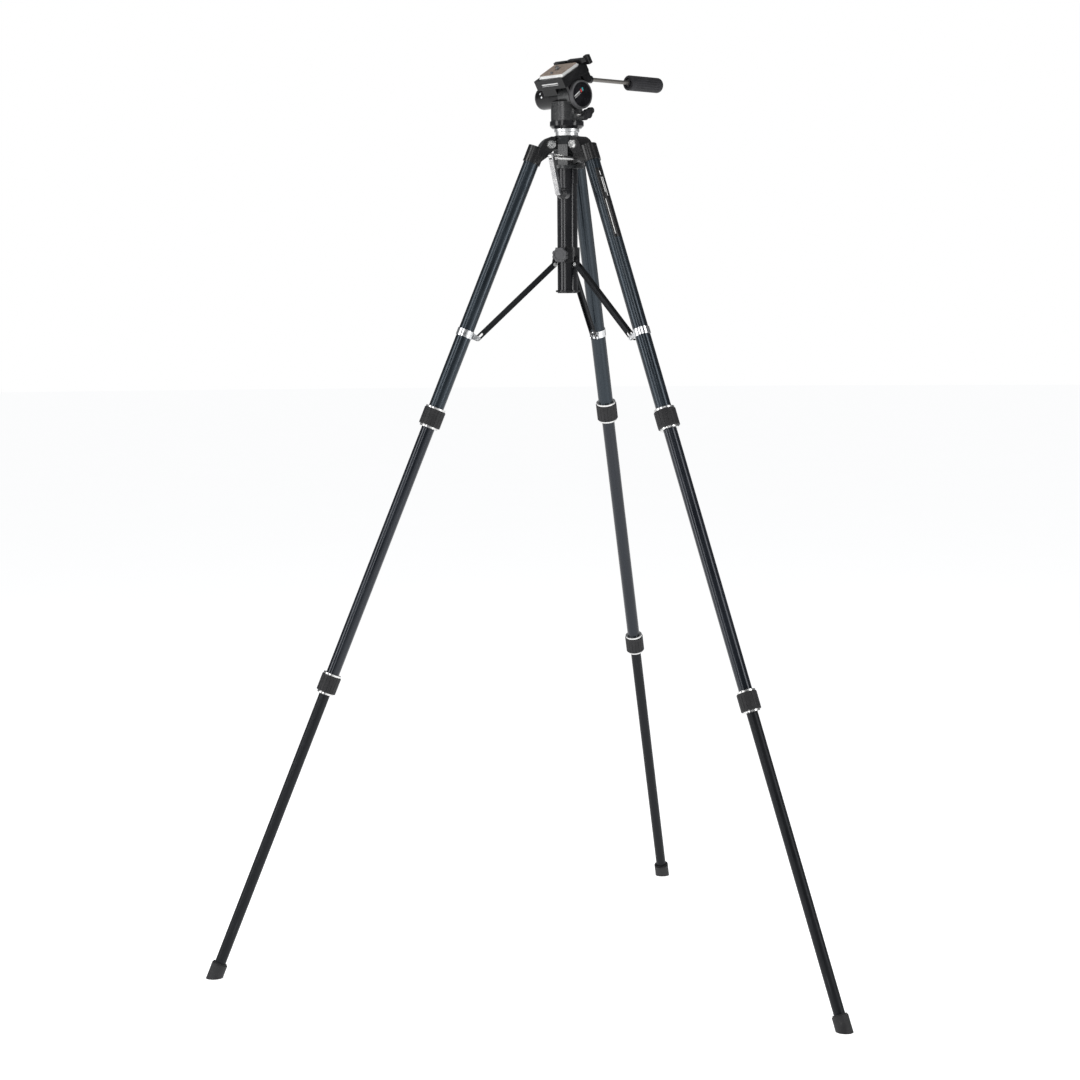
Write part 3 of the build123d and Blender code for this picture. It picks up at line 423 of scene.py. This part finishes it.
BADGE_RISE = 38.0
BADGE_BACK = 5 * MM
BADGE_UP = 6 * MM
BADGE_PROUD = 0.14 * MM
INK_THICK = 0.12 * MM
INK_SLANT = 0.25
# name, colour, then bars as start, end, low and high in mm along the slope
BADGE_STRIPES = (
    ("badge_stripe_grey", (0.62, 0.62, 0.62), ((-12, 3, 0.6, 2.2), (-12, 3, -2.0, -1.4))),
    ("badge_stripe_red", (0.52, 0.035, 0.03), ((5, 8, -2.0, 3.2),)),
    ("badge_stripe_teal", (0.02, 0.30, 0.33), ((9, 12, -2.0, 3.2),)))


def cap_badge():
    """Plain stripes on the drag cap, rising to the rear."""
    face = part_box("drag_cap")[1].x
    angle = math.radians(BADGE_RISE)
    along = Vector((0.0, math.cos(angle), math.sin(angle)))
    side = Vector((0.0, -math.sin(angle), math.cos(angle)))
    centre = Vector((face + BADGE_PROUD, TILT_AXIS.y, TILT_AXIS.z))
    origin = centre + along * -BADGE_BACK + side * BADGE_UP
    for name, colour, bars in BADGE_STRIPES:
        mesh = bmesh.new()
        for start, end, low, high in bars:
            corners = slanted_bar(origin, along, side, start, end, low, high, INK_SLANT)
            add_slab(mesh, corners, ACROSS, INK_THICK)
        make_piece(name, mesh, printed(name + "_ink", colour), "platform")


CAP_SIDES = 96
CAP_SINK = 0.02 * MM
# radius and height above the cap, both in mm, from the rim inwards
CAP_PROFILE = ((20.4, 0.0), (20.4, 0.09), (20.1, 0.16))


def cap_disc():
    """The gloss face let into the drag cap, inside its rim."""
    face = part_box("drag_cap")[1].x
    centre = Vector((face - CAP_SINK, TILT_AXIS.y, TILT_AXIS.z))
    mesh = bmesh.new()
    count = CAP_SIDES
    loops = []
    for radius, proud in CAP_PROFILE:
        loop = []
        for index in range(count):
            angle = 2 * math.pi * index / count
            spoke = Vector((0.0, math.cos(angle), math.sin(angle)))
            loop.append(mesh.verts.new(centre + spoke * (radius * MM)
                                       + ACROSS * (proud * MM)))
        loops.append(loop)
    bridge(mesh, loops, count)
    mesh.faces.new(loops[-1])
    mesh.faces.new(list(reversed(loops[0])))
    face_look = moulded("cap_face_gloss", (0.004, 0.004, 0.005), 0.2, 0.9 * MM, 0.16)
    make_piece("cap_face", mesh, face_look, "platform")


def deck_point(x, rear, height):
    """A point on the tilting deck, in mm across, to the rear and above the tilt axis."""
    return TILT_AXIS + (ACROSS * x + DECK_REAR * rear + DECK_UP * height) * MM


RECEIVER_WALL = -24.5
STRIPE_LEFT = -19.0
STRIPE_RIGHT = 20.0
STRIPE_HEIGHTS = ((33.4, 35.4), (31.2, 31.8))


def front_stripes():
    """Two plain stripes on the receiver's front wall."""
    mesh = bmesh.new()
    for low, high in STRIPE_HEIGHTS:
        ends = ((STRIPE_LEFT, low), (STRIPE_RIGHT, low),
                (STRIPE_RIGHT, high), (STRIPE_LEFT, high))
        corners = [deck_point(x, RECEIVER_WALL, height) for x, height in ends]
        add_slab(mesh, corners, -DECK_REAR, INK_THICK)
    make_piece("receiver_stripes", mesh, printed("receiver_ink", (0.55, 0.55, 0.55)),
               "platform")


SCREW_REAR = 5.4
THREAD_FOOT = 47.8
THREAD_LEAD_IN = 0.5 * MM
THREAD_PITCH = 1.27 * MM
THREAD_TURNS = 2.8
THREAD_STEPS = 36


def screw_thread():
    """The thread ridge on the free end of the camera screw."""
    foot = deck_point(0.0, SCREW_REAR, THREAD_FOOT)
    across = DECK_UP.orthogonal().normalized()
    side = DECK_UP.cross(across)
    profile = ((3.10, -0.42), (3.42, -0.08), (3.42, 0.08), (3.10, 0.42))
    mesh = bmesh.new()
    rows = []
    for index in range(int(THREAD_TURNS * THREAD_STEPS) + 1):
        angle = 2 * math.pi * index / THREAD_STEPS
        spoke = across * math.cos(angle) + side * math.sin(angle)
        rise = DECK_UP * (THREAD_PITCH * index / THREAD_STEPS + THREAD_LEAD_IN)
        rows.append([mesh.verts.new(foot + rise + spoke * (radius * MM)
                                    + DECK_UP * (lift * MM))
                     for radius, lift in profile])
    bridge(mesh, rows, len(profile))
    mesh.faces.new(rows[0])
    mesh.faces.new(list(reversed(rows[-1])))
    make_piece("camera_screw_thread", mesh, plated("thread_steel", (0.30, 0.30, 0.30), 0.26), "screw")


TUBE_R = 13.0 * MM
# name, colour, height in mm, then patches as start and end in mm along the tube from
# the upper lock, and left and right in degrees from its outer side
LABEL_PARTS = (
    ("label_black", (0.003, 0.003, 0.0035), 0.06, ((-442, -318, -21, 45),)),
    ("label_lines", (0.80, 0.80, 0.79), 0.10,
     ((-386, -323, 26.0, 31.0), (-436, -429, 10.0, 16.0),
      (-425, -391, 0.0, 5.0), (-425, -398, 12.0, 17.0))))


def label_strip():
    """A plain strip label along the outer side of leg b's upper tube."""
    joint = JOINTS["leg_b_upper_lock_twist"]
    down = Vector(joint["axis"]).normalized()
    lock = Vector(joint["pos_m"])
    outward = Vector((-down.z, 0.0, down.x))
    if outward.x < 0:
        outward = -outward
    side = down.cross(outward)
    axes = (lock, down, outward, side)
    for name, colour, proud, patches in LABEL_PARTS:
        mesh = bmesh.new()
        for patch in patches:
            add_arc(mesh, axes, patch, TUBE_R, proud * MM)
        ink = printed(name + "_ink", colour, 0.26)
        make_piece(name, mesh, ink, "leg_b")


DEGREES_PER_STEP = 3
PATCH_FOOT = 0.01 * MM


def add_arc(mesh, axes, patch, radius, proud):
    """A closed curved patch lying on a tube."""
    lock, down, outward, side = axes
    start, end, left, right = patch
    steps = max(2, int((right - left) / DEGREES_PER_STEP))
    rows = []
    for distance in (start, end):
        for height in (PATCH_FOOT, proud):
            row = []
            for index in range(steps + 1):
                angle = math.radians(left + (right - left) * index / steps)
                normal = outward * math.cos(angle) + side * math.sin(angle)
                row.append(mesh.verts.new(lock + down * (distance * MM)
                                          + normal * (radius + height)))
            rows.append(row)
    near_low, near_high, far_low, far_high = rows
    for first, second in ((near_high, far_high), (far_low, near_low),
                          (near_low, near_high), (far_high, far_low)):
        for index in range(steps):
            mesh.faces.new((first[index], first[index + 1], second[index + 1], second[index]))
    for index in (0, steps):
        mesh.faces.new((near_low[index], near_high[index], far_high[index], far_low[index]))


HEAD_SIDES = 24
# shares of the radius and of the height, from the foot to the edge of the recess
HEAD_PROFILE = ((1.0, 0.0), (1.0, 0.55), (0.82, 0.9), (0.45, 1.0))
RECESS_FLOOR = 0.35
RECESS_ARM = 0.36
RECESS_CORNER = 0.16


def screw_head(mesh, centre, normal, radius, height):
    """A small round-topped screw head with a cross recess."""
    across = normal.orthogonal().normalized()
    turned_side = normal.cross(across)
    count = HEAD_SIDES
    loops = []
    for share, rise in HEAD_PROFILE:
        loop = []
        for index in range(count):
            angle = 2 * math.pi * index / count
            spoke = across * math.cos(angle) + turned_side * math.sin(angle)
            loop.append(mesh.verts.new(centre + spoke * (radius * share)
                                       + normal * (height * rise)))
        loops.append(loop)
    inner = []
    for index in range(count):
        angle = 2 * math.pi * index / count
        narrow = RECESS_ARM if index % 6 in (0, 1, 5) else RECESS_CORNER
        spoke = across * math.cos(angle) + turned_side * math.sin(angle)
        inner.append(mesh.verts.new(centre + spoke * (radius * narrow)
                                    + normal * (height * RECESS_FLOOR)))
    loops.append(inner)
    bridge(mesh, loops, count)
    mesh.faces.new(loops[-1])
    mesh.faces.new(list(reversed(loops[0])))


BARREL_R = 19.0 * MM
SCREW_SINK = 0.25 * MM
SCREW_HEAD_R = 2.0 * MM
SCREW_HEAD_TALL = 0.9 * MM
# distance across in mm, and degrees above the level of the tilt axis
SCREW_PLACES = ((-46.5, 19.0), (-42.0, 0.0))


def barrel_screws():
    """Two bright screws in the front of the barrel's left end."""
    mesh = bmesh.new()
    for x, degrees in SCREW_PLACES:
        angle = math.radians(degrees)
        normal = Vector((0.0, -math.cos(angle), math.sin(angle)))
        axis_point = Vector((x * MM, TILT_AXIS.y, TILT_AXIS.z))
        centre = axis_point + normal * (BARREL_R - SCREW_SINK)
        screw_head(mesh, centre, normal, SCREW_HEAD_R, SCREW_HEAD_TALL)
    make_piece("barrel_screws", mesh, plated("screw_chrome", roughness=0.12), "platform")


# ---- camera, floor and light --------------------------------------------
CAMERA_PLACE = Vector((2.9078, -2.7040, 1.0836))
CAMERA_AZIMUTH = 137.803
CAMERA_PITCH = 5.174
CAMERA_ROLL = 0.0071
CAMERA_LENS = 77.655


def place_camera():
    data = bpy.data.cameras.new("camera")
    data.lens = CAMERA_LENS
    data.sensor_width = 36.0
    data.clip_end = 60.0
    camera = bpy.data.objects.new("camera", data)
    bpy.context.scene.collection.objects.link(camera)
    azimuth = math.radians(CAMERA_AZIMUTH)
    pitch = math.radians(CAMERA_PITCH)
    forward = Vector((math.cos(azimuth) * math.cos(pitch),
                      math.sin(azimuth) * math.cos(pitch), -math.sin(pitch)))
    level = forward.cross(Vector((0.0, 0.0, 1.0))).normalized()
    upright = level.cross(forward)
    right = level * math.cos(CAMERA_ROLL) - upright * math.sin(CAMERA_ROLL)
    up = right.cross(forward)
    turn = Matrix((right, up, -forward)).transposed()
    camera.matrix_world = Matrix.Translation(CAMERA_PLACE) @ turn.to_4x4()
    bpy.context.scene.camera = camera
    return forward, level


def area_light(name, place, aim, size, power):
    data = bpy.data.lights.new(name, "AREA")
    data.shape = "RECTANGLE"
    data.size, data.size_y = size
    data.energy = power
    light = bpy.data.objects.new(name, data)
    bpy.context.scene.collection.objects.link(light)
    direction = (Vector(aim) - Vector(place)).normalized()
    light.matrix_world = (Matrix.Translation(place)
                          @ direction.to_track_quat("-Z", "Y").to_matrix().to_4x4())


FLOOR_R = 40.0
FLOOR_SIDES = 96
FLOOR_Z = -0.5 * MM
FLOOR_GLOW = 0.85


def build_floor():
    """A pale paper floor that glows a little, so that it meets the white backdrop."""
    mesh = bmesh.new()
    corners = []
    for index in range(FLOOR_SIDES):
        angle = 2 * math.pi * index / FLOOR_SIDES
        corners.append(mesh.verts.new((FLOOR_R * math.cos(angle), FLOOR_R * math.sin(angle),
                                       FLOOR_Z)))
    mesh.faces.new(corners)
    data = bpy.data.meshes.new("floor")
    mesh.to_mesh(data)
    mesh.free()
    floor = bpy.data.objects.new("floor", data)
    bpy.context.scene.collection.objects.link(floor)
    look = Surface("floor_paper", (0.86, 0.86, 0.86), 0.9)
    look.paint((0.84, 0.84, 0.84), look.noise(0.6))
    look.shader.inputs["Emission Color"].default_value = (1.0, 1.0, 1.0, 1.0)
    look.shader.inputs["Emission Strength"].default_value = FLOOR_GLOW
    data.materials.append(look.done())


ROOM_COLOUR = (0.93, 0.96, 1.0, 1.0)
ROOM_STRENGTH = 0.15


def build_world():
    """Pale backdrop where the camera looks straight at it, dimmer as a light source."""
    world = bpy.data.worlds.new("studio")
    bpy.context.scene.world = world
    world.use_nodes = True
    nodes = world.node_tree.nodes
    links = world.node_tree.links
    room = nodes["Background"]
    room.inputs["Color"].default_value = ROOM_COLOUR
    room.inputs["Strength"].default_value = ROOM_STRENGTH
    backdrop = nodes.new("ShaderNodeBackground")
    backdrop.inputs["Color"].default_value = (1.0, 1.0, 1.0, 1.0)
    rays = nodes.new("ShaderNodeLightPath")
    mix = nodes.new("ShaderNodeMixShader")
    links.new(rays.outputs["Is Camera Ray"], mix.inputs["Fac"])
    links.new(room.outputs[0], mix.inputs[1])
    links.new(backdrop.outputs[0], mix.inputs[2])
    links.new(mix.outputs[0], nodes["World Output"].inputs["Surface"])


LIGHT_CENTRE = 0.8
# name, then metres towards the camera, to its right and up from the centre of the
# tripod, how far above the centre it aims, its width and height, and its watts
LIGHTS = (
    ("left_softbox", 0.7, -2.3, 0.7, 0.0, (0.8, 2.6), 28.0),
    ("right_softbox", 1.3, 1.9, 0.6, 0.0, (0.7, 2.6), 26.0),
    ("top_softbox", 0.0, 0.0, 3.0, 0.0, (2.6, 2.6), 26.0),
    ("strip_light", 2.2, -1.45, 0.5, 0.0, (0.5, 2.4), 15.0),
    ("front_softbox", 2.6, 0.0, 1.9, 0.3, (0.9, 0.6), 7.0))


def build_lights(forward, level):
    centre = Vector((0.0, 0.0, LIGHT_CENTRE))
    rise = Vector((0.0, 0.0, 1.0))
    for name, near, right, up, aim, size, power in LIGHTS:
        place = centre - forward * near + level * right + rise * up
        area_light(name, place, centre + rise * aim, size, power)


dress_legs()
dress_centre()
cap_disc()
cap_badge()
front_stripes()
screw_thread()
label_strip()
barrel_screws()
view_forward, view_level = place_camera()
build_floor()
build_world()
build_lights(view_forward, view_level)
bpy.context.scene.view_settings.view_transform = "Standard"
